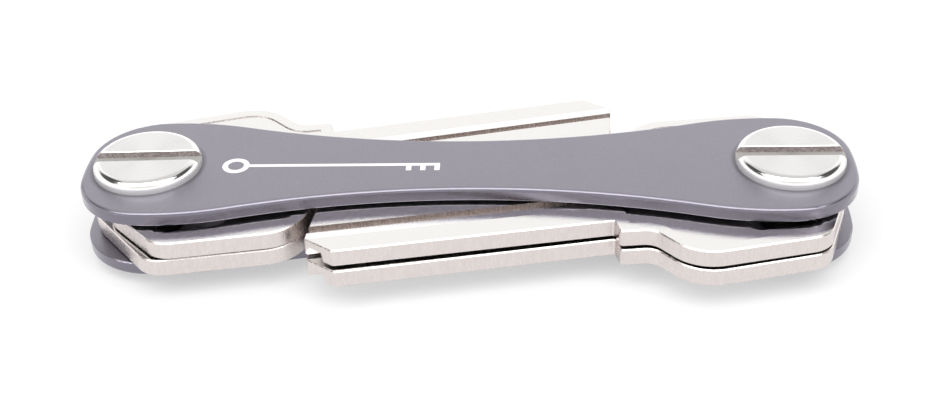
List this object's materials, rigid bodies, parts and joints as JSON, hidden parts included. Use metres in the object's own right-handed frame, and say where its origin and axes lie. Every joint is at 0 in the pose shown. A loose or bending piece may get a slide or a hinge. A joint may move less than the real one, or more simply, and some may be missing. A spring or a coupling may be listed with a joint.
{
  "type": "key organiser",
  "caption": "Pocket key organiser: waisted metal plates clamp folding key blanks between two slotted screw posts, and each key swings out on its post.",
  "frame": {"origin": "centre of the back plate's outer face, midway between the two posts", "axes": "+X along the plates towards the right post, +Y across them, +Z from the back plate towards the front plate"},
  "size_m": [0.0816, 0.0305, 0.0103],
  "materials": {
    "anodised_plate": "bead-blasted and anodised, warm grey, satin",
    "steel_hardware": "turned face, polished rounded rim",
    "nickel_key": "nickel-plated brass, tumbled faces, sheared edges",
    "washer_nylon": "plain moulded nylon"
  },
  "bodies": {
    "frame": {"front_plate": "anodised_plate", "back_plate": "anodised_plate", "left_post": "steel_hardware", "right_post": "steel_hardware", "left_bottom_washer": "washer_nylon", "left_middle_washer": "washer_nylon", "left_top_washer": "washer_nylon", "right_bottom_washer": "washer_nylon", "right_middle_washer": "washer_nylon", "right_top_washer": "washer_nylon"},
    "left_upper_key": {"left_upper_key": "nickel_key"},
    "left_lower_key": {"left_lower_key": "nickel_key"},
    "right_upper_key": {"right_upper_key": "nickel_key"},
    "right_lower_key": {"right_lower_key": "nickel_key"},
    "left_screw": {"left_screw": "steel_hardware"},
    "right_screw": {"right_screw": "steel_hardware"}
  },
  "joints": [
    {"name": "left_upper_key_swing", "type": "hinge", "parent": "frame", "child": "left_upper_key", "pos_m": [-0.034, 0, 0], "axis": [0, 0, 1], "range_deg": [0, 270]},
    {"name": "left_lower_key_swing", "type": "hinge", "parent": "frame", "child": "left_lower_key", "pos_m": [-0.034, 0, 0], "axis": [0, 0, 1], "range_deg": [0, 270]},
    {"name": "right_upper_key_swing", "type": "hinge", "parent": "frame", "child": "right_upper_key", "pos_m": [0.034, 0, 0], "axis": [0, 0, 1], "range_deg": [0, 270]},
    {"name": "right_lower_key_swing", "type": "hinge", "parent": "frame", "child": "right_lower_key", "pos_m": [0.034, 0, 0], "axis": [0, 0, 1], "range_deg": [0, 270]},
    {"name": "left_screw_turn", "type": "hinge", "parent": "frame", "child": "left_screw", "pos_m": [-0.034, 0, 0], "axis": [0, 0, 1], "range_deg": [0, 90]},
    {"name": "right_screw_turn", "type": "hinge", "parent": "frame", "child": "right_screw", "pos_m": [0.034, 0, 0], "axis": [0, 0, 1], "range_deg": [0, 90]}
  ]
}
